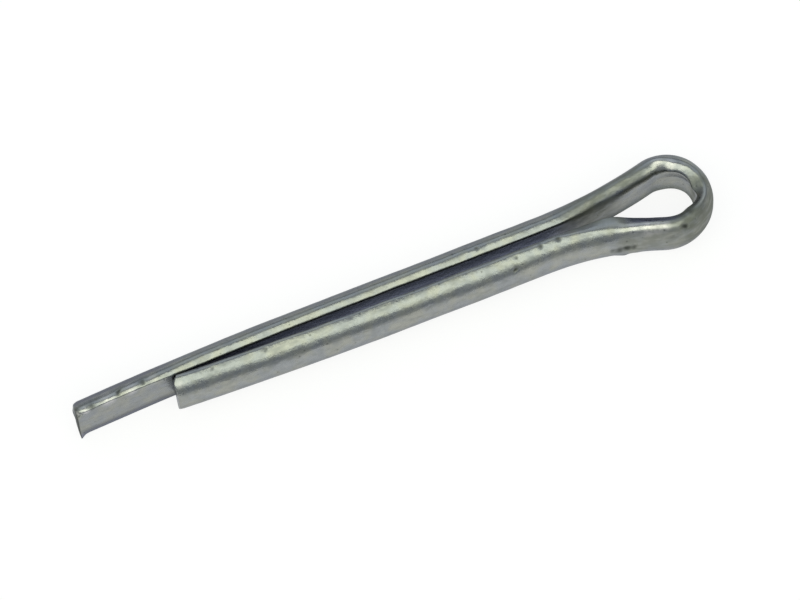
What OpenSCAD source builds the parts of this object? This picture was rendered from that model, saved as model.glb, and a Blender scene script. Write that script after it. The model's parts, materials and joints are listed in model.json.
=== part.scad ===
// Cotter pin: one length of half-round wire, folded flat to flat into a round
// shank with a slot through it, and opened at the fold into an eye.
// The pin lies on its side: the shank runs along X, the eye is at +X, the legs
// spread along Y with the long one at +Y, and Z is up. The origin is on the
// shank's axis, at the neck, where the straight legs end and the eye begins.

/* [Shank] */
// Diameter of the shank, over both legs
shank_d = 4.5; // [3.7:0.1:5.4]
// Width of the slot between the flats of the two legs
slot_w = 0.9; // [0.7:0.05:1.2]
// Radius of the wire's two rounded edges
edge_r = 0.2; // [0.1:0.05:0.3]

/* [Legs] */
// Length of the short leg, from the neck to its tip
short_leg = 31.1; // [25:0.1:45]
// How far the long leg reaches past the short one
extra_reach = 7.9; // [2:0.1:12]
// Length of the bent end of the short leg
short_bend = 21; // [12:0.5:25]
// Length of the bent end of the long leg
long_bend = 20; // [12:0.5:25]
// Angle through which the bent end of the long leg turns
long_turn = 3.25; // [0.5:0.05:3.5]
// Gap that is left between the legs at the short leg's tip
tip_gap = 0.145; // [0.05:0.005:0.3]

/* [Eye] */
// Distance from the neck to the centre of the crown's long side
eye_x = 10.9; // [9:0.1:14]
// How far the crown is off the shank's axis, towards the short leg
eye_offset = 0.09; // [0:0.01:0.3]
// Outer radius of the crown on the long leg's side
long_crown_r = 3.66; // [3.4:0.02:4.4]
// Outer radius of the crown on the short leg's side
short_crown_r = 4.1; // [3.8:0.02:5]
// Diameter of the mandrel that was pressed into the crown from inside
mandrel_d = 3.8; // [3.2:0.05:4]
// How far the mandrel's centre is off the shank's axis, towards the short leg
mandrel_offset = 0.18; // [0:0.01:0.3]
// Thickness of the wire at the crown's end, where the mandrel pressed it thin
crown_wall = 1.31; // [1.1:0.01:1.7]
// Height above the mid-plane at which the edge break of the thinned wall starts
break_height = 1.85; // [1.6:0.05:1.95]

/* [Hidden] */
$fn = 360;

// Radii, turns and places are kept to a thousandth, so that the pieces of the
// wire, which are worked out from each other, meet face to face.
function thousandth(value) = round(1000 * value) / 1000;

shank_r = thousandth(shank_d / 2);
half_slot = thousandth(slot_w / 2);
rounding = thousandth(edge_r);

// The crown's two arcs meet square across the X axis, at the crown's end.
crown_end = eye_x + long_crown_r;
mandrel_r = mandrel_d / 2;
mandrel_x = crown_end - crown_wall - mandrel_r;

// Each leg's flat starts half a slot from the axis and is pressed inwards by
// its bend. The short leg takes up what the long one leaves of the slot.
long_leg = short_leg + extra_reach;
long_radius = long_bend * 180 / (PI * long_turn);
overlap_bend = max(0, short_leg - long_leg + long_bend);
long_press = pow(overlap_bend, 2) / (2 * long_radius);
short_press = slot_w - tip_gap - long_press;
short_radius = pow(short_bend, 2) / (2 * short_press);
short_turn = short_bend * 180 / (PI * short_radius);

// The centre of the wire's rounded edge touches both the flat and the circle.
edge_x = half_slot + rounding;
edge_y = sqrt(pow(shank_r - rounding, 2) - pow(edge_x, 2));
edge_angle = atan2(edge_y, edge_x);

// What one rounded edge takes off the sharp edge at +y, seen from its centre.
module edge_waste() {
    difference() {
        polygon([
            [0, 0],
            2 * rounding * [cos(edge_angle), sin(edge_angle)],
            [-2 * rounding, 2 * shank_r],
            [-2 * rounding, 0]
        ]);
        circle(rounding);
    }
}

// The wire's section is a slice of the shank's circle with two rounded edges.
// The shank's axis is at x = 0 and the wire's round side faces +x. The step to
// an edge is made in two, a round one and its small remainder.
module wire_section() {
    difference() {
        circle(shank_r);
        translate([-3 * shank_r, -3 * shank_r])
            square([3 * shank_r + half_slot, 6 * shank_r]);
        for (side = [0, 1])
            mirror([0, side])
                translate([edge_x, thousandth(edge_y)])
                    translate([0, edge_y - thousandth(edge_y)]) edge_waste();
    }
}

// One leg at +Y: straight from the neck, then bent towards the other leg.
module leg(length, bend, radius, turn) {
    straight = length - bend;
    translate([-straight, 0, 0])
        rotate([90, 0, 90]) linear_extrude(straight) wire_section();
    translate([-straight, -radius, 0])
        rotate([0, 0, 90]) rotate_extrude(angle = turn) translate([radius, 0]) wire_section();
}

// The neck, which bends away from the axis at +Y.
module neck(radius, turn) {
    translate([0, radius, 0])
        rotate([0, 0, -90]) rotate_extrude(angle = turn)
            translate([radius, 0]) mirror([1, 0]) wire_section();
}

// One half of the pin at +Y. The crown's arc is centred at rise across the
// axis, and the neck runs smoothly into it. The neck's radius and turn are
// round numbers, and the neck and leg move by under 0.001 to suit them.
module half_pin(length, bend, radius, turn, outer_r, rise) {
    arc_r = thousandth(outer_r - shank_r);
    arc_x = thousandth(crown_end - shank_r) - arc_r;
    arc_y = thousandth(rise);
    full_neck_r = (pow(arc_x, 2) + pow(arc_y, 2) - pow(arc_r, 2)) / (2 * (arc_r + arc_y));
    neck_turn = thousandth(asin(arc_x / (full_neck_r + arc_r)));
    neck_r = thousandth(full_neck_r);
    centres = neck_r + arc_r;
    translate([
        arc_x - centres * sin(neck_turn),
        arc_y - neck_r + centres * cos(neck_turn),
        0
    ]) {
        leg(length, bend, radius, turn);
        neck(neck_r, neck_turn);
    }
    translate([arc_x, arc_y, 0])
        rotate_extrude(angle = 90 + neck_turn) translate([arc_r, 0]) wire_section();
}

// The mandrel pressed into the crown, with a 45 degree flare at each end that
// breaks the edges of the thinned wall.
module mandrel() {
    flare = shank_r + 0.5 - break_height;
    translate([mandrel_x, -mandrel_offset, 0]) {
        cylinder(h = 2 * shank_r + 1, r = mandrel_r, center = true);
        for (side = [0, 1])
            mirror([0, 0, side]) translate([0, 0, break_height])
                cylinder(h = flare, r1 = mandrel_r, r2 = mandrel_r + flare);
    }
}

module cotter_pin() {
    color([0.62, 0.63, 0.6])
        difference() {
            union() {
                half_pin(long_leg, long_bend, long_radius, long_turn, long_crown_r, -eye_offset);
                mirror([0, 1, 0])
                    half_pin(short_leg, short_bend, short_radius, short_turn, short_crown_r, eye_offset);
            }
            mandrel();
        }
}

cotter_pin();
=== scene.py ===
import json
import math

import bpy
import numpy as np
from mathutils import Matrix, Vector, noise


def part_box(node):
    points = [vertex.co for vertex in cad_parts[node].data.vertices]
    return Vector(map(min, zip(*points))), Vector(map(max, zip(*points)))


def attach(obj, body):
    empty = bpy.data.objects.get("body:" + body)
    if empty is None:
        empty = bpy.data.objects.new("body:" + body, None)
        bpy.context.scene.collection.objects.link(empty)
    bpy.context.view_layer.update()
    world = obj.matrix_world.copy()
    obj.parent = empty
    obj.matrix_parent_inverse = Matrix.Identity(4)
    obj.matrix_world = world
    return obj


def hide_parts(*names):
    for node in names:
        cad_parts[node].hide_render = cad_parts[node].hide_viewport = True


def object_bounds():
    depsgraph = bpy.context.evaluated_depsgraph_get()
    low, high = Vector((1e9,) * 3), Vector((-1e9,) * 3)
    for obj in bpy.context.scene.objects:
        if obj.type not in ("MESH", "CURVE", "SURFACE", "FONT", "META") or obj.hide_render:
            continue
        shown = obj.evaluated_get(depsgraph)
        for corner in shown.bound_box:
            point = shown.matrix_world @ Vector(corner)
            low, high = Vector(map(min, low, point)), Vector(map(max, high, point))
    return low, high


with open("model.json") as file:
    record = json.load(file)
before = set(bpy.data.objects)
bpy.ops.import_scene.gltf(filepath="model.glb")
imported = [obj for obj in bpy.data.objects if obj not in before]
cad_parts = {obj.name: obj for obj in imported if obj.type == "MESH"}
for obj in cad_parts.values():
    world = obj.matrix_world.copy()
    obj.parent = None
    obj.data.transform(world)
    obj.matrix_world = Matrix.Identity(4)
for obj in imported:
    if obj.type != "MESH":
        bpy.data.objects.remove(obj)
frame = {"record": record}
cad_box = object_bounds()
MM = 0.001

# ---------------------------------------------------------------- sizes, in mm
# The wire's section is a slice of the shank's circle. A rolled land lies between
# the flat and the round back.
SHANK_R = frame["record"]["mounts"][0]["dims"]["r_mm"]
HALF_SLOT = 0.45
# The land's tilt and width. The lower lands are below the wire's middle.
LAND_TILT, NECK_TILT, CROWN_TILT, SHORT_EYE_TILT = np.radians([28, 36, 31, 44])
LONG_LAND, LONG_TIP_LAND, LONG_EYE_LAND, CROWN_LAND = 0.68, 0.44, 1.00, 0.36
SHORT_LAND, SHORT_NECK_LAND, SHORT_EYE_LAND = 0.13, 0.22, 0.50
LOWER_LAND, LOWER_EYE_LAND = 0.24, 0.14
# How far the rounding at the land's foot reaches, and the one at its ridge.
LONG_EDGE, LONG_EYE_EDGE, CROWN_EDGE = 0.18, 0.64, 0.28
SHORT_EDGE, SHORT_EYE_EDGE, LOWER_EDGE = 0.06, 0.12, 0.05
LONG_RIDGE, LONG_EYE_RIDGE = 0.30, 0.38
SHORT_RIDGE, SHORT_EYE_RIDGE, LOWER_RIDGE = 0.14, 0.30, 0.10
# The most of the land's length that the ridge's rounding takes, and that both do.
RIDGE_SHARE, BOTH_SHARE = 0.5, 0.95
# How far the flat's top stands in past its middle, or back from it if negative.
CROWN_LIP, LOWER_LIP, SHORT_LIP, NECK_LIP = 0.42, 0.10, 0.19, -0.13
# The spur that closes the short leg's side of the eye towards the neck.
SPUR, SPUR_X, SPUR_LENGTH, SPUR_TILT = 0.27, 5.0, 3.2, math.radians(3)
SPUR_TILT_X, SPUR_TILT_LENGTH = 5.2, 1.5
# The swell of the round back on the short leg's side of the eye.
SWELL, SWELL_AT, SWELL_WIDTH = 0.037, math.radians(50), math.radians(12)
# Waves of the land's width and of its tilt: how much, how long, and a seed.
WIDTH_WAVES = ((0.035, 2.3, 3.7), (0.012, 0.7, 9.1))
TILT_WAVES = ((math.radians(2.0), 2.6, 5.3),)

# Stretches of the wire, each as a place along x and a length. One that starts
# there comes in over that length after it, and one that ends there fades out over
# that length before it. The crown's lip also starts along y.
EYE_STARTS, NECK_ENDS = (1.0, 5.0), (10.3, 1.5)
CROWN_LIP_STARTS, CROWN_LIP_STARTS_Y = (10.7, 2.0), (-1.6, 1.2)
SHORT_LIP_ENDS = (11.6, 1.8)
LONG_TIP_ENDS, SHORT_LEG_ENDS = (-29.0, 5.0), (-6.0, 8.0)
SWELL_STARTS, SWELL_ENDS = (4.0, 3.0), (11.5, 2.0)
FREE_END_ENDS, TIP_EDGE_SHADE_ENDS = (-29.5, 3.0), (-38.86, 0.12)
SLOT_STARTS, SLOT_ENDS = (-30.9, 0.7), (4.6, 4.8)

# The legs: length from the neck, length of the bent end, radius of its bend.
LONG_LEG, LONG_BEND, LONG_TURN = 39.0, 20.0, math.radians(3.25)
SHORT_LEG, SHORT_BEND, TIP_GAP = 31.1, 21.0, 0.145
LONG_BEND_R = LONG_BEND / LONG_TURN
LONG_PRESS = max(0.0, SHORT_LEG - LONG_LEG + LONG_BEND) ** 2 / (2 * LONG_BEND_R)
SHORT_BEND_R = SHORT_BEND ** 2 / (2 * (2 * HALF_SLOT - TIP_GAP - LONG_PRESS))

# The tips were sheared. Each is cut back by slant for each mm towards the round
# back and by lean for each mm down from the top, and its round back rolls over
# by roll. A nick is (outward, up, radius, depth), and one of negative depth
# stands proud. The burr hangs from the flat's lower corner.
TIPS = {
    "long": {
        "slant": 0.14, "lean": 0.0, "roll": 0.16, "roll_length": 0.6, "burr": 0.26,
        "nicks": [(0.45, 1.80, 0.28, 0.60), (1.93, -1.15, 0.17, 0.80), (2.1, -0.5, 0.45, -0.07)],
    },
    "short": {
        "slant": -0.24, "lean": 0.08, "roll": 0.10, "roll_length": 0.5, "burr": 0.0,
        "nicks": [(0.45, 2.1, 0.6, 0.34)],
    },
}
CUT_REACH, ROLL_SQUASH = 2.4, 0.5
BURR_UP, BURR_LENGTH, BURR_WIDTH, BURR_HEIGHT, BURR_REACH = -1.9, 0.35, 0.3, 0.35, 2.0
RIM_R, INNERMOST_RING = 0.09, 0.04

# The eye: the crown's two arcs share the height of their centres and meet at
# the crown's end, and each neck runs smoothly from its leg into its arc. The
# mandrel pressed the flat back, and the press's edge is eased.
CROWN_END = 14.56
EYE_OFFSET = -0.09
LONG_CROWN_R, SHORT_CROWN_R = 3.66 - SHANK_R, 4.1 - SHANK_R
MANDREL_R = 1.9
MANDREL = np.array([11.35, -0.18])
PRESS_EASE = 0.12

# Waves of the whole surface: how much longer along x, size and height.
SURFACE_WAVES = ((3.2, 1.5, 0.016), (1.7, 0.55, 0.0055))
# Damage: place, radius, depth and darkness of each dent, or stain if the depth
# is 0. What stands proud has a negative depth. Warp makes the outlines uneven.
DAMAGE = [
    # pits along the tops of the legs
    ((-1.97, 0.82, 2.10), 0.17, 0.08, 0.9), ((-5.07, 0.94, 2.04), 0.18, 0.08, 0.8),
    ((-7.69, 0.80, 2.10), 0.14, 0.05, 0.6), ((-2.61, -1.03, 2.00), 0.16, 0.05, 0.7),
    ((-0.48, -0.84, 2.08), 0.20, 0.05, 0.7), ((1.13, -0.87, 2.08), 0.22, 0.06, 0.75),
    ((-2.91, -1.74, 1.43), 0.18, 0.08, 1.0), ((-23.6, -0.60, 2.09), 0.17, 0.05, 0.6),
    ((-10.3, -1.9, 1.10), 0.18, 0.03, 0.3), ((-27.9, -0.50, 2.06), 0.17, 0.05, 0.6),
    ((-16.5, -0.62, 2.10), 0.20, 0.03, 0.3), ((-12.2, 0.85, 2.05), 0.14, 0.03, 0.4),
    # pits and dents of the long leg's free end
    ((-33.4, 0.60, 1.93), 0.18, 0.07, 0.95), ((-35.3, 0.52, 1.93), 0.17, 0.08, 0.95),
    ((-37.65, 0.25, 1.88), 0.34, 0.07, 0.6), ((-38.95, 0.45, 1.95), 0.30, 0.06, 0.6),
    # pits and a stain of the crown and of its near side
    ((10.75, -3.53, 1.60), 0.24, 0.07, 1.0), ((11.7, -2.5, 2.05), 0.36, 0.03, 0.6),
    ((10.9, -2.7, 2.0), 0.50, 0.0, 0.35), ((8.5, -3.9, 0.90), 0.30, 0.02, 0.3),
    ((9.6, -3.9, 1.20), 0.25, 0.02, 0.3),
    # the scuff under the short leg's neck, and the burr that it raised
    ((5.5, -2.85, 0.25), 0.34, 0.03, 0.7), ((6.1, -2.97, 0.40), 0.32, 0.04, 0.8),
    ((6.6, -3.08, 0.45), 0.30, 0.03, 0.65), ((5.0, -2.75, 0.35), 0.24, 0.02, 0.5),
    ((6.0, -2.85, -0.85), 0.50, -0.13, 0.35), ((6.9, -3.1, -0.60), 0.30, -0.05, 0.3),
    # the fullness of the short leg's side
    ((-5.5, -4.0, 0.0), 2.60, -0.08, 0.0),
]
WARP, WARP_SCALE, WARP_SEED, STAIN_SPREAD = 0.16, 2.2, 5, 1.2

# Painted shade in the slot: how dark the slot's flat is at its top, how far down
# that fades, and how far from the flat the painted shade ends.
SLOT_TOP, SLOT_TOP_ENDS, FLAT_REACH = 0.15, (1.75, 0.6), 0.05
# How much darker the zinc is on the short leg's side and the long leg's neck, how much
# painted shade darkens the throat between them, and how much the crown's bright rim was spared.
SIDE_WORK, NECK_WORK, THROAT_SHADE, RIM_SPARED = 0.6, 0.7, 0.8, 0.9
# How much painted shade darkens the long leg's back short of its free end, and that end
# underneath. How much painted shade darkens the free end's lower rim, and the long tip's end edge.
BACK_SHADE, UNDER_SHADE, LOW_RIM_SHADE, TIP_EDGE_SHADE = 0.6, 0.75, 0.45, 0.75

# Places that rubbing has polished, partly painted highlights: place, radius and how much.
POLISH_AND_HIGHLIGHTS = [
    # the crown, the long leg's neck and the short leg's side of the eye
    ((11.0, 2.2, 2.0), 0.7, 1.0), ((11.9, 1.8, 1.9), 0.6, 0.8), ((12.7, 1.2, 1.8), 0.5, 0.5),
    ((12.8, -1.3, 1.8), 0.7, 0.8), ((13.2, -0.3, 1.6), 0.5, 0.2),
    ((6.3, 1.35, 2.0), 0.45, 0.7), ((7.6, 1.5, 2.05), 0.5, 0.9), ((9.2, 1.85, 2.05), 0.35, 0.7),
    ((10.1, 2.1, 2.05), 0.45, 0.8),
    ((6.0, -2.0, 1.9), 0.6, 0.5), ((7.0, -2.2, 1.9), 0.7, 0.7), ((8.0, -2.6, 1.85), 0.7, 1.0),
    ((8.7, -2.85, 1.85), 0.6, 1.0), ((9.3, -3.0, 1.85), 0.5, 0.9),
    # the long leg's free end, and the short leg's tip
    ((-38.2, 0.1, 1.9), 0.4, 0.8), ((-36.3, 0.3, 1.9), 0.7, 0.8), ((-34.4, 0.4, 1.9), 0.6, 0.7),
    ((-32.5, 0.6, 1.9), 0.5, 0.6), ((-30.8, -0.8, 2.0), 0.45, 0.6),
]

# The mesh: points round the section, points along the route, stations along the
# wire, and rings that close an end. MID_WIRE is how far the middle of the wire is
# from its route, and GIRTH about how far it is round the section.
FLAT_STEPS, EDGE_STEPS, ROUND_STEPS = 16, 7, 22
BEND_STEPS, LEG_STEPS, NECK_STEPS, CROWN_STEPS = 300, 300, 200, 400
STATIONS = 900
RIM_STEPS, CAP_STEPS = 5, 9
MID_WIRE, GIRTH = 1.35, 12.5
NOISE_GAIN = 1.6

# ------------------------------------------------------------ colours and light
COOL_ZINC, WARM_ZINC = (0.305, 0.322, 0.332, 1), (0.350, 0.356, 0.322, 1)
DARK_ZINC, PALE_ZINC = (0.24, 0.255, 0.245, 1), (0.40, 0.41, 0.38, 1)
# Darker zinc, which is painted shade in the throat, and bright zinc, which is partly painted highlight.
DULL_AND_SHADE_ZINC, HIGHLIGHT_ZINC = (0.21, 0.22, 0.19, 1), (0.66, 0.64, 0.64, 1)
# The colours of painted shade: on the long leg's back and free end, and on the rims.
PAINTED_SHADE_ZINC, RIM_SHADE_ZINC = (0.17, 0.17, 0.205, 1), (0.29, 0.305, 0.42, 1)
# The painted shade of the slot's flat, and the colour of pits.
SLOT_SHADE_COLOUR, PIT_COLOUR = (0.16, 0.18, 0.25, 1), (0.085, 0.09, 0.08, 1)
SHEEN = (0.6, 0.61, 0.65, 1)
PEBBLE_DEPTH, DRAWN_DEPTH, SPECK_DEPTH = 2.0e-5, 5e-6, 8e-6

# Lamps: name, degrees from overhead, degrees from -Y towards -X, distance and
# size in metres, brightness, colour.
LAMPS = (
    ("soft_box", 31, 30, 1.0, (3.2, 0.64), 1.6, (0.97, 1.0, 0.80)),
    ("fill_box", 32, 195, 1.2, (2.2, 1.2), 0.42, (0.86, 0.95, 1.0)),
)
ROOM, ROOM_COLOUR = 0.35, (0.93, 1.0, 1.08, 1)
FLOOR_SIZE, FLOOR_COLOUR = 4.0, (0.95, 0.95, 0.95, 1)
# The floor's own white, for the camera and for what mirrors it. Its mirror image
# fades in over GLOW_FAR metres, a painted shadow near the pin, and is weaker from
# GLOW_BACK metres behind the pin, a painted shadow where the pin's shadow falls.
WHITE, FLOOR_GLOW = 1.07, 0.8
GLOW_FAR, GLOW_BACK, GLOW_BEHIND = 0.0014, 0.004, 0.25

# The camera: the point that it looks at and its distance, in mm, its direction
# from -Y and from the floor, its lens and sensor in mm, and its clipping in metres.
CAMERA_TARGET, CAMERA_DISTANCE = (-11.994, 0.055, 0.0), 312.95
CAMERA_AZIMUTH, CAMERA_ELEVATION = math.radians(-23.10), math.radians(64.90)
LENS, SENSOR, CLIP_START, CLIP_END = 180, 36, 0.01, 10


# ---------------------------------------------------------------- small helpers
def smooth(share):
    """An S-curve from 0 to 1."""
    share = np.clip(share, 0, 1)
    return share * share * (3 - 2 * share)


def rising(values, start, length):
    """From 0 to 1 over a length that begins at start."""
    return smooth((values - start) / length)


def falling(values, end, length):
    """From 1 to 0 over a length that ends at end."""
    return smooth((end - values) / length)


def blend(first, second, share):
    """From the first value at a share of 0 to the second at 1."""
    return first + (second - first) * share


def bump_at(values, place, width):
    """A bell curve of height 1 at that place."""
    return np.exp(-((values - place) / width) ** 2)


def noise_at(places):
    """Smooth noise at each place, from about -1 to 1."""
    return np.array([noise.noise(Vector(place)) for place in places]) * NOISE_GAIN


def waves(values, rows):
    """Smooth noise along a row of values, summed over rows of amount, length and seed."""
    return sum(amount * noise_at((value / length, seed, 0.5 * seed) for value in values)
               for amount, length, seed in rows)


def round_corner(start, corner, end, steps):
    """Points of a smooth bend from start to end that is drawn towards the corner."""
    t = np.linspace(0, 1, steps)[:, None]
    return (1 - t) ** 2 * start + 2 * t * (1 - t) * corner + t ** 2 * end


# ------------------------------------------------------------ the wire's route
def half_route(leg, bent, bend_r, crown_r, rise):
    """Points of one half of the wire's route, from its tip to the crown's end.

    The route is the line that is the shank's axis in the straight legs. Each
    row holds a point and the outward direction there, for the half at +Y.
    """
    arc_x = CROWN_END - SHANK_R - crown_r
    neck_r = (arc_x ** 2 + rise ** 2 - crown_r ** 2) / (2 * (crown_r + rise))
    neck_turn = math.asin(arc_x / (neck_r + crown_r))
    rows = []
    for turn in np.linspace(bent / bend_r, 0, BEND_STEPS):
        out = np.array([-math.sin(turn), math.cos(turn)])
        rows.append((np.array([bent - leg, -bend_r]) + bend_r * out, out))
    for x in np.linspace(bent - leg, 0, LEG_STEPS)[1:]:
        rows.append((np.array([x, 0.0]), np.array([0.0, 1.0])))
    for turn in np.linspace(0, neck_turn, NECK_STEPS)[1:]:
        out = np.array([-math.sin(turn), math.cos(turn)])
        rows.append((np.array([0.0, neck_r]) - neck_r * out, out))
    for turn in np.linspace(math.pi / 2 + neck_turn, 0, CROWN_STEPS)[1:]:
        out = np.array([math.cos(turn), math.sin(turn)])
        rows.append((np.array([arc_x, rise]) + crown_r * out, out))
    return np.array([np.concatenate(row) for row in rows])


def route():
    """Evenly spaced stations along the whole wire, from the long tip to the short one."""
    long_half = half_route(LONG_LEG, LONG_BEND, LONG_BEND_R, LONG_CROWN_R, EYE_OFFSET)
    short_half = half_route(SHORT_LEG, SHORT_BEND, SHORT_BEND_R, SHORT_CROWN_R, -EYE_OFFSET)
    short_half = short_half[::-1][1:] * [1, -1, 1, -1]
    rows = np.vstack([long_half, short_half])
    middle = rows[:, :2] + MID_WIRE * rows[:, 2:]
    length = np.concatenate([[0], np.cumsum(np.linalg.norm(np.diff(middle, axis=0), axis=1))])
    even = np.linspace(0, length[-1], STATIONS)
    rows = np.column_stack([np.interp(even, length, column) for column in rows.T])
    rows[:, 2:] /= np.linalg.norm(rows[:, 2:], axis=1, keepdims=True)
    return rows[:, :2], rows[:, 2:], even


def flat_offset(points, outward):
    """How far the wire's flat is from the route: half the slot, more where the mandrel pressed it."""
    rel = points - MANDREL
    along = (rel * outward).sum(1)
    inside = MANDREL_R ** 2 - (rel ** 2).sum(1) + along ** 2
    clear_of_it = HALF_SLOT - 1
    pressed = np.where(inside > 0, np.sqrt(np.maximum(inside, 0)) - along, clear_of_it)
    share = np.clip(0.5 + 0.5 * (pressed - HALF_SLOT) / PRESS_EASE, 0, 1)
    return HALF_SLOT + (pressed - HALF_SLOT) * share + PRESS_EASE * share * (1 - share)


# ---------------------------------------------------------- the wire's section
def half_section(flat, lip, width, tilt, edge, ridge):
    """The upper half of the section, as (outward, up) rows from the flat's middle to the back's.

    The rounding at the land's foot reaches edge along the flat and the land, and
    the one at its ridge reaches ridge along the land and the round back, as far
    as the land is long enough for both.
    """
    top = np.array([flat + width, math.sqrt(SHANK_R ** 2 - (flat + width) ** 2)])
    foot = top - (width + lip) * np.array([1.0, math.tan(tilt)])
    middle = np.array([flat, 0.0])
    land = np.linalg.norm(top - foot)
    slope = (top - foot) / land
    wall = (middle - foot) / np.linalg.norm(middle - foot)
    lean = math.atan2(top[1], top[0]) - ridge / SHANK_R
    back = np.array([(SHANK_R * math.cos(turn), SHANK_R * math.sin(turn))
                     for turn in np.linspace(lean, 0, ROUND_STEPS)])
    tangent = np.array([-math.sin(lean), math.cos(lean)])
    run, _ = np.linalg.solve(np.column_stack([slope, -tangent]), back[0] - top)
    ridge_reach = min(ridge, RIDGE_SHARE * land)
    edge_reach = min(edge, BOTH_SHARE * land - ridge_reach)
    rounding = round_corner(foot + edge * wall, foot, foot + edge_reach * slope, EDGE_STEPS)
    rise = np.linspace(0, 1, FLAT_STEPS + 1)[:-1, None]
    return np.vstack([
        (1 - rise) * middle + rise * rounding[0],
        rounding,
        round_corner(top - ridge_reach * slope, top + run * slope, back[0], EDGE_STEPS + 1)[:-1],
        back,
    ])


def section(flat, lip, lower_lip, width, lower_width, tilt, edge, ridge):
    """The wire's section where the flat is that far from the route.

    The upper flat leans in by the lip at its top and the lower one by the lower
    lip at its bottom.
    """
    upper = half_section(flat, lip, width, tilt, edge, ridge)
    lower = half_section(flat, lower_lip, lower_width, LAND_TILT, LOWER_EDGE, LOWER_RIDGE)
    return np.vstack([upper, lower[1:-1][::-1] * [1, -1]])


def sections(middle, flats, along):
    """The section at every station, as rings of (outward, up) points."""
    x, y = middle.T
    short_side = 1 / (1 + np.exp(2.0 * y))
    in_eye = rising(x, *EYE_STARTS)
    in_neck = in_eye * falling(x, *NECK_ENDS)
    in_crown = rising(x, *CROWN_LIP_STARTS) * rising(y, *CROWN_LIP_STARTS_Y)

    def along_wire(long_leg, short_leg, long_eye, short_eye):
        """Values at every station, from those in the legs and in the eye."""
        return blend(blend(long_leg, short_leg, short_side), blend(long_eye, short_eye, short_side), in_eye)

    short_lips = SHORT_LIP * in_eye * falling(x, *SHORT_LIP_ENDS) + SPUR * bump_at(x, SPUR_X, SPUR_LENGTH)
    lips = CROWN_LIP * in_crown + NECK_LIP * in_neck * (1 - short_side) + short_lips * short_side
    widths = along_wire(
        blend(LONG_LAND, LONG_TIP_LAND, falling(x, *LONG_TIP_ENDS)),
        blend(SHORT_NECK_LAND, SHORT_LAND, falling(x, *SHORT_LEG_ENDS)),
        blend(LONG_EYE_LAND, CROWN_LAND, in_crown),
        SHORT_EYE_LAND)
    widths += waves(along, WIDTH_WAVES)
    lowers = blend(LOWER_LAND, LOWER_EYE_LAND, in_eye)
    tilts = along_wire(LAND_TILT, LAND_TILT, blend(CROWN_TILT, NECK_TILT, in_neck), SHORT_EYE_TILT)
    tilts = blend(tilts, SPUR_TILT, short_side * bump_at(x, SPUR_TILT_X, SPUR_TILT_LENGTH))
    tilts += waves(along, TILT_WAVES)
    edges = along_wire(LONG_EDGE, SHORT_EDGE, blend(LONG_EYE_EDGE, CROWN_EDGE, in_crown), SHORT_EYE_EDGE)
    ridges = along_wire(LONG_RIDGE, SHORT_RIDGE, LONG_EYE_RIDGE, SHORT_EYE_RIDGE)
    rings = np.array([section(*row) for row in zip(
        flats, lips, LOWER_LIP * in_crown, widths, lowers, tilts, edges, ridges)])
    swell = SWELL * rising(x, *SWELL_STARTS) * falling(x, *SWELL_ENDS) * short_side
    turns = np.arctan2(rings[..., 1], rings[..., 0])
    return rings * (1 + (swell[:, None] * bump_at(turns, SWELL_AT, SWELL_WIDTH))[..., None])


# ------------------------------------------------------------------- the ends
def end_rings(ring):
    """What closes an end: the rim's round and the end face, as rings that step inwards."""
    middle = np.array([0.5 * (ring[:, 0].min() + ring[:, 0].max()), 0.0])
    reach = np.linalg.norm(ring - middle, axis=1, keepdims=True)
    rings, depths = [], []
    for turn in np.linspace(0, math.pi / 2, RIM_STEPS + 1)[1:]:
        rings.append(middle + (ring - middle) * (1 - RIM_R * (1 - math.cos(turn)) / reach))
        depths.append(RIM_R * (1 - math.sin(turn)))
    face = rings[-1]
    for share in np.linspace(1, INNERMOST_RING, CAP_STEPS)[1:]:
        rings.append(middle + (face - middle) * share)
        depths.append(0.0)
    return np.array(rings), np.array(depths)


def shear(along, rings, length, points, outward):
    """Move the ends as the shear did, and give every vertex its place in space."""
    along = np.repeat(along[:, None], rings.shape[1], axis=1)
    out, up = rings[..., 0].copy(), rings[..., 1].copy()
    moved = along.copy()
    for name, start, sign in (("long", 0.0, 1), ("short", length[-1], -1)):
        tip = TIPS[name]
        depth = sign * (along - start)
        near = np.clip(1 - depth / CUT_REACH, 0, 1) ** 2 * (depth < CUT_REACH)
        cut = tip["slant"] * (out - HALF_SLOT)
        for nick_out, nick_up, radius, nick in tip["nicks"]:
            cut += nick * np.exp(-((out - nick_out) ** 2 + (up - nick_up) ** 2) / radius ** 2)
        cut += tip["lean"] * (SHANK_R - up)
        moved += sign * cut * near
        roll = np.clip(1 - depth / tip["roll_length"], 0, 1) ** 2 * (depth < tip["roll_length"])
        share = np.clip((out - HALF_SLOT) / (SHANK_R - HALF_SLOT), 0, 1)
        up *= 1 - ROLL_SQUASH * tip["roll"] * roll * share
        out -= tip["roll"] * roll * share ** 1.5
        burr = bump_at(depth, 0, BURR_LENGTH) * bump_at(out, HALF_SLOT, BURR_WIDTH)
        burr *= bump_at(up, BURR_UP, BURR_HEIGHT)
        out -= tip["burr"] * burr * (depth < BURR_REACH)
    at = [np.interp(moved, length, column) for column in (*points.T, *outward.T)]
    return np.stack([at[0] + out * at[2], at[1] + out * at[3], up], axis=-1)


# ------------------------------------------------------- wear and painted light of each vertex
def inner_face(rings, middle, flats, extra):
    """How much painted shade darkens the long leg's flat inside the slot, from 0 to 1.

    Rings holds that many extra ones at each end, which close it.
    """
    reach, at_x, at_y = [np.pad(row, extra, mode="edge") for row in (flats, *middle.T)]
    on_flat = smooth(1 - (rings[..., 0] - reach[:, None]) / FLAT_REACH)
    in_slot = rising(at_x, *SLOT_STARTS) * falling(at_x, *SLOT_ENDS) * (at_y > 0)
    deep = blend(SLOT_TOP, 1.0, falling(rings[..., 1], *SLOT_TOP_ENDS))
    at_centres = [0.0, 0.0]
    return np.append((in_slot[:, None] * deep * on_flat).ravel(), at_centres)


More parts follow.
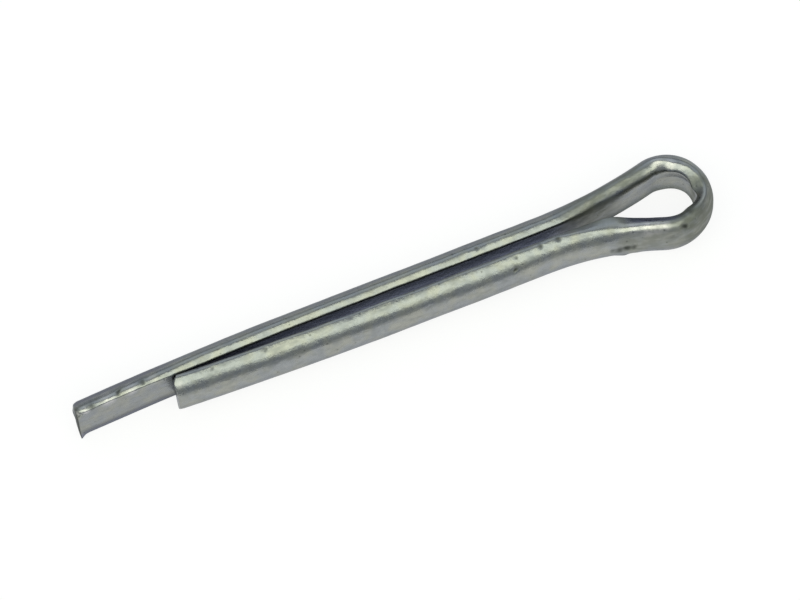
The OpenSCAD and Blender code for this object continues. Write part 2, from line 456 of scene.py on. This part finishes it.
def worked(verts):
    """How much darker and rougher the zinc is, from 0 to 1.

    It is so on the crown, except on the rim of the long leg's side, and on the
    outside of the short leg's neck and the top of the long one's. Between them, in the throat, it is painted
    shade.
    """
    x, y, z = verts.T
    from_hole = np.linalg.norm(verts[:, :2] - MANDREL, axis=1)
    bright_rim = rising(x, 11.8, 1.0) * (1 - rising(from_hole, 2.4, 0.5)) * (1 - bump_at(y, -0.15, 0.5))
    crown = rising(x, 9.8, 1.4) * falling(y, 1.2, 1.8) * (1 - RIM_SPARED * bright_rim)
    side = SIDE_WORK * rising(x, 4.0, 2.5) * falling(y, -2.2, 0.6) * rising(z, -0.5, 0.6)
    neck = NECK_WORK * rising(x, 1.0, 3.0) * falling(x, 10.6, 1.6) * rising(y, 0.5, 0.5) * rising(z, 1.15, 0.3)
    throat = THROAT_SHADE * rising(x, 0.5, 3.0) * falling(x, 8.2, 2.5) * falling(abs(y) - 0.15 * x, 0.35, 0.25)
    return np.max([crown, side, neck, throat], axis=0)


def polish_and_highlight(verts):
    """How much rubbing has polished each vertex, with painted highlights, from 0 to 1."""
    return np.max([amount * np.exp(-((verts - place) ** 2).sum(1) / radius ** 2)
                   for place, radius, amount in POLISH_AND_HIGHLIGHTS], axis=0)


def painted_shade(verts, normals):
    """How much painted shade darkens each vertex, from 0 to 1: on the long leg's far side and under its free
    end.
    """
    free_end = falling(verts[:, 0], *FREE_END_ENDS)
    upper_back = rising(normals[:, 1], 0.45, 0.3) * rising(normals[:, 2], 0.15, 0.3)
    lower_flat = falling(normals[:, 1], -0.5, 0.3) * falling(verts[:, 2], -0.9, 0.9)
    return np.maximum(upper_back * blend(BACK_SHADE, 1.0, free_end), UNDER_SHADE * lower_flat * free_end)


def painted_rim_shade(verts, normals):
    """How much dark blue painted shade each vertex has, from 0 to 1: on the eye's near rim and the free end's
    lower rim.
    """
    x, y, z = verts.T
    # Painted shade on the eye's near rim and under the free end's lower rim.
    near_rim = rising(x, 5.6, 2.2) * falling(x, 11.2, 1.8) * (y < -0.8)
    near_rim *= rising(normals[:, 1], 0.30, 0.3) * rising(normals[:, 2], 0.15, 0.2)
    low_rim = falling(x, *FREE_END_ENDS) * falling(z, -1.5, 0.25) * falling(normals[:, 1], -0.1, 0.4)
    return np.maximum(near_rim, LOW_RIM_SHADE * low_rim)


def relief(verts, normals):
    """The vertices with waves, dents and burrs, kept within the CAD's height.

    Also how worn each one is, with painted shade on the long tip's end edge, from 0 to 1.
    """
    height = np.zeros(len(verts))
    for stretch, size, amount in SURFACE_WAVES:
        scaled = verts / [size * stretch, size, size]
        height += amount * noise_at(scaled)
    wear_and_tip_shade = np.zeros(len(verts))
    noise.seed_set(WARP_SEED)
    warp = WARP * np.array([noise.noise_vector(Vector(place)) for place in verts * WARP_SCALE])
    for place, radius, depth, darkness in DAMAGE:
        gap = ((verts + warp - place) ** 2).sum(1)
        height -= depth * np.exp(-gap / radius ** 2)
        wear_and_tip_shade = np.maximum(wear_and_tip_shade, darkness * np.exp(-gap / (STAIN_SPREAD * radius) ** 2))
    moved = verts + normals * height[:, None]
    moved[:, 2] = np.clip(moved[:, 2], cad_box[0][2] / MM, cad_box[1][2] / MM)
    # Painted shade darkens the long tip's end edge.
    return moved, np.maximum(wear_and_tip_shade, TIP_EDGE_SHADE * falling(verts[:, 0], *TIP_EDGE_SHADE_ENDS))


# ---------------------------------------------------------------- the mesh
def wire_mesh():
    """The whole wire as one closed mesh, with its wear, polish, darker zinc, painted shade and painted
    highlights as attributes.
    """
    points, outward, length = route()
    along = length.copy()
    along[0], along[-1] = RIM_R, length[-1] - RIM_R
    flats = flat_offset(points, outward)
    middle = points + outward * MID_WIRE
    rings = sections(middle, flats, along)
    first, first_depth = end_rings(rings[0])
    last, last_depth = end_rings(rings[-1])
    rings = np.concatenate([first[::-1], rings, last])
    along = np.concatenate([first_depth[::-1], along, length[-1] - last_depth])
    verts = shear(along, rings, length, points, outward)

    count, around = verts.shape[:2]
    index = np.arange(count * around).reshape(count, around)
    a, b = index[:-1], index[1:]
    faces = np.stack([a, b, np.roll(b, -1, 1), np.roll(a, -1, 1)], axis=-1).reshape(-1, 4).tolist()
    centres = [verts[0].mean(0), verts[-1].mean(0)]
    for centre, ring, step in ((count * around, index[0], 1), (count * around + 1, index[-1], -1)):
        loop = ring[::step]
        faces += [[int(i), int(j), centre] for i, j in zip(loop, np.roll(loop, -1))]
    verts = np.vstack([verts.reshape(-1, 3), centres])
    mesh = bpy.data.meshes.new("cotter_pin_wire")
    mesh.from_pydata((verts * MM).tolist(), [], faces)
    mesh.update()

    normals = np.empty(len(verts) * 3, dtype=np.float32)
    mesh.vertex_normals.foreach_get("vector", normals)
    normals = normals.reshape(-1, 3).astype(float)
    moved, wear_and_tip_shade = relief(verts, normals)
    mesh.vertices.foreach_set("co", (moved * MM).ravel())
    attributes = {
        "wear_and_tip_shade": wear_and_tip_shade,
        "slot_shade": inner_face(rings, middle, flats, len(first)),
        "worked": worked(verts),
        "polish_highlight": polish_and_highlight(verts),
        "painted_shade": painted_shade(verts, normals),
        "rim_shade": painted_rim_shade(verts, normals),
    }
    for name, values in attributes.items():
        mesh.attributes.new(name, "FLOAT", "POINT").data.foreach_set("value", values)
    add_uv(mesh, along, around, count)
    mesh.polygons.foreach_set("use_smooth", [True] * len(mesh.polygons))
    mesh.update()
    piece = bpy.data.objects.new("cotter_pin_wire", mesh)
    bpy.context.scene.collection.objects.link(piece)
    return piece


def add_uv(mesh, along, around, count):
    """Texture coordinates in mm: along the wire, and around its section."""
    layer = mesh.uv_layers.new(name="wire")
    loops = np.empty(len(mesh.loops), dtype=np.int32)
    mesh.loops.foreach_get("vertex_index", loops)
    row = np.minimum(loops // around, count - 1)
    turn = (loops % around) * (GIRTH / around)
    layer.data.foreach_set("uv", np.column_stack([along[row], turn]).ravel())


# ---------------------------------------------------------------- materials
def node(tree, kind, inputs=(), **settings):
    """Add a node, set its fields, and connect or set its inputs by name or number."""
    made = tree.nodes.new(kind)
    for name, value in settings.items():
        setattr(made, name, value)
    for name, value in dict(inputs).items():
        if isinstance(value, bpy.types.NodeSocket):
            tree.links.new(value, made.inputs[name])
        else:
            made.inputs[name].default_value = value
    return made


def math_of(tree, operation, first, second):
    """The result of a sum or product of two values."""
    return node(tree, "ShaderNodeMath", {0: first, 1: second}, operation=operation).outputs[0]


def spread(tree, value, low, high, bottom=0.0, top=1.0):
    """The value's range from low to high, spread from bottom to top."""
    inputs = {0: value, 1: low, 2: high, 3: bottom, 4: top}
    return node(tree, "ShaderNodeMapRange", inputs, clamp=True).outputs[0]


def zinc():
    """Dull zinc plating: mottled, pitted and finely drawn along the wire, with painted shade and painted
    highlights.
    """
    material = bpy.data.materials.new("zinc_plated_steel")
    material.use_nodes = True
    tree = material.node_tree
    shader = tree.nodes["Principled BSDF"]

    def mapped(source, scale):
        return node(tree, "ShaderNodeMapping", {"Vector": source, "Scale": scale}).outputs[0]

    def grain(source, scale, detail=3.0, rough=0.55):
        inputs = {"Vector": source, "Scale": scale, "Detail": detail, "Roughness": rough}
        return node(tree, "ShaderNodeTexNoise", inputs).outputs["Fac"]

    def mixed(share, first, second):
        made = node(tree, "ShaderNodeMix", data_type="RGBA", blend_type="MIX")
        for socket, value in ((made.inputs[0], share), (made.inputs[6], first), (made.inputs[7], second)):
            if isinstance(value, bpy.types.NodeSocket):
                tree.links.new(value, socket)
            else:
                socket.default_value = value
        return made.outputs[2]

    def bumped(height, depth, normal=None):
        inputs = {"Strength": 1.0, "Distance": depth, "Height": height}
        if normal is not None:
            inputs["Normal"] = normal
        return node(tree, "ShaderNodeBump", inputs).outputs[0]

    in_mm = mapped(node(tree, "ShaderNodeTexCoord").outputs["Object"], (1 / MM, 1 / MM, 1 / MM))
    wire_mm = node(tree, "ShaderNodeUVMap", uv_map="wire").outputs[0]
    drawn = grain(mapped(wire_mm, (0.22, 4.5, 1)), 1.0, 4.0)
    patches = grain(in_mm, 0.75, 4.0)
    blotches = grain(mapped(wire_mm, (0.9, 1.9, 1)), 1.0, 4.0, 0.6)
    grains = grain(in_mm, 3.0, 3.0, 0.6)
    pebbles = grain(in_mm, 2.6, 4.0, 0.6)
    cells = node(tree, "ShaderNodeTexVoronoi", {"Vector": in_mm, "Scale": 1.1, "Randomness": 1.0})
    specks = cells.outputs["Distance"]
    wear_and_shade, slot_shade, work, polish_highlight, painted_shade_share, rim_shade = [
        node(tree, "ShaderNodeAttribute", attribute_name=name).outputs["Fac"]
        for name in ("wear_and_tip_shade", "slot_shade", "worked", "polish_highlight", "painted_shade", "rim_shade")]
    dull_and_shade_share = math_of(tree, "MULTIPLY", work, spread(tree, blotches, 0.36, 0.56, 0.5, 1.0))
    grained = spread(tree, grains, 0.35, 0.6, 0.4, 1.0)
    shine = math_of(tree, "MULTIPLY", spread(tree, polish_highlight, 0.2, 1.0), grained)

    # The tint is one layer over another: how much of each shows, and its colour.
    # Some layers are painted shade and painted highlights.
    tint = mixed(spread(tree, patches, 0.42, 0.60), COOL_ZINC, WARM_ZINC)
    for share, colour in (
            (spread(tree, blotches, 0.50, 0.66, 0.0, 0.45), DARK_ZINC),
            (spread(tree, drawn, 0.45, 0.75, 0.0, 0.1), PALE_ZINC),
            (spread(tree, grains, 0.50, 0.68, 0.0, 0.28), DARK_ZINC),
            (spread(tree, grains, 0.32, 0.48, 0.28, 0.0), PALE_ZINC),
            (painted_shade_share, PAINTED_SHADE_ZINC),
            (dull_and_shade_share, DULL_AND_SHADE_ZINC),
            (shine, HIGHLIGHT_ZINC),
            (slot_shade, SLOT_SHADE_COLOUR),
            (rim_shade, RIM_SHADE_ZINC),
            (spread(tree, specks, 0.04, 0.11, 0.6, 0.0), PIT_COLOUR),
            (spread(tree, wear_and_shade, 0.15, 0.8), PIT_COLOUR)):
        tint = mixed(share, tint, colour)
    tree.links.new(tint, shader.inputs["Base Color"])

    rough = spread(tree, blotches, 0.35, 0.7, 0.22, 0.36)
    for more in (
            spread(tree, wear_and_shade, 0.1, 0.8, 0.0, 0.3),
            spread(tree, work, 0.0, 1.0, 0.0, 0.2),
            spread(tree, polish_highlight, 0.2, 1.0, 0.0, -0.08)):
        rough = math_of(tree, "ADD", rough, more)
    tree.links.new(rough, shader.inputs["Roughness"])

    normal = bumped(pebbles, PEBBLE_DEPTH)
    normal = bumped(drawn, DRAWN_DEPTH, normal)
    normal = bumped(spread(tree, specks, 0.02, 0.14), SPECK_DEPTH, normal)
    tree.links.new(normal, shader.inputs["Normal"])
    shader.inputs["Metallic"].default_value = 1.0
    shader.inputs["Specular Tint"].default_value = SHEEN
    return material


# ------------------------------------------------------------------ the studio
def studio():
    """A white floor that keeps the pin's shadow, the lamps and a dim room."""
    floor_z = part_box("cotter_pin")[0].z
    bpy.ops.mesh.primitive_plane_add(size=FLOOR_SIZE, location=(0, 0, floor_z))
    floor = bpy.context.object
    floor.name = "studio_floor"
    material = bpy.data.materials.new("studio_floor")
    material.use_nodes = True
    tree = material.node_tree
    tree.nodes.clear()
    path = node(tree, "ShaderNodeLightPath").outputs
    spot = node(tree, "ShaderNodeSeparateXYZ", {0: node(tree, "ShaderNodeNewGeometry").outputs["Position"]})
    # The mirror image is dimmed near the pin and behind it: painted shadow.
    away = spread(tree, path["Ray Length"], 0.0, GLOW_FAR)
    behind = spread(tree, spot.outputs["Y"], 0.0, GLOW_BACK, 1.0, GLOW_BEHIND)
    mirrored = math_of(tree, "MULTIPLY", path["Is Glossy Ray"], math_of(tree, "MULTIPLY", away, behind))
    seen = math_of(tree, "ADD", path["Is Camera Ray"], mirrored)
    seen = math_of(tree, "ADD", seen, path["Is Transmission Ray"])
    share = math_of(tree, "MULTIPLY", seen, FLOOR_GLOW)
    matt = node(tree, "ShaderNodeBsdfDiffuse", {"Color": FLOOR_COLOUR})
    glow = node(tree, "ShaderNodeEmission", {"Color": (1, 1, 1, 1), "Strength": WHITE})
    mix = node(tree, "ShaderNodeMixShader", {0: share, 1: matt.outputs[0], 2: glow.outputs[0]})
    node(tree, "ShaderNodeOutputMaterial", {"Surface": mix.outputs[0]})
    floor.data.materials.append(material)

    for lamp in LAMPS:
        soft_box(*lamp)

    world = bpy.data.worlds.new("studio")
    bpy.context.scene.world = world
    world.use_nodes = True
    background = world.node_tree.nodes["Background"].inputs
    background["Color"].default_value = ROOM_COLOUR
    background["Strength"].default_value = ROOM


def soft_box(name, zenith, turn, distance, size, brightness, colour):
    """A lamp of that size in metres and that brightness, so many degrees from overhead.

    Turn is from the -Y side towards -X.
    """
    zenith, turn = math.radians(zenith), math.radians(turn)
    away = Vector((
        -math.sin(zenith) * math.sin(turn),
        -math.sin(zenith) * math.cos(turn),
        math.cos(zenith),
    ))
    data = bpy.data.lights.new(name, "AREA")
    data.shape = "RECTANGLE"
    data.size, data.size_y = size
    data.color = colour
    data.energy = brightness * math.pi * size[0] * size[1]
    place_facing(name, data, away * distance, away)


def camera():
    """The scene's camera."""
    away = Vector((
        math.sin(CAMERA_AZIMUTH) * math.cos(CAMERA_ELEVATION),
        -math.cos(CAMERA_AZIMUTH) * math.cos(CAMERA_ELEVATION),
        math.sin(CAMERA_ELEVATION),
    ))
    data = bpy.data.cameras.new("camera")
    data.sensor_width = SENSOR
    data.lens = LENS
    data.clip_start = CLIP_START
    data.clip_end = CLIP_END
    target = Vector(CAMERA_TARGET) * MM
    bpy.context.scene.camera = place_facing("camera", data, target + away * CAMERA_DISTANCE * MM, away)


def place_facing(name, data, location, away):
    """An object at that place that looks back along away."""
    made = bpy.data.objects.new(name, data)
    made.location = location
    made.rotation_euler = away.to_track_quat("Z", "Y").to_euler()
    bpy.context.scene.collection.objects.link(made)
    return made


wire = wire_mesh()
wire.data.materials.append(zinc())
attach(wire, "root")
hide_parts("cotter_pin")
studio()
camera()
bpy.context.scene.view_settings.view_transform = "Standard"
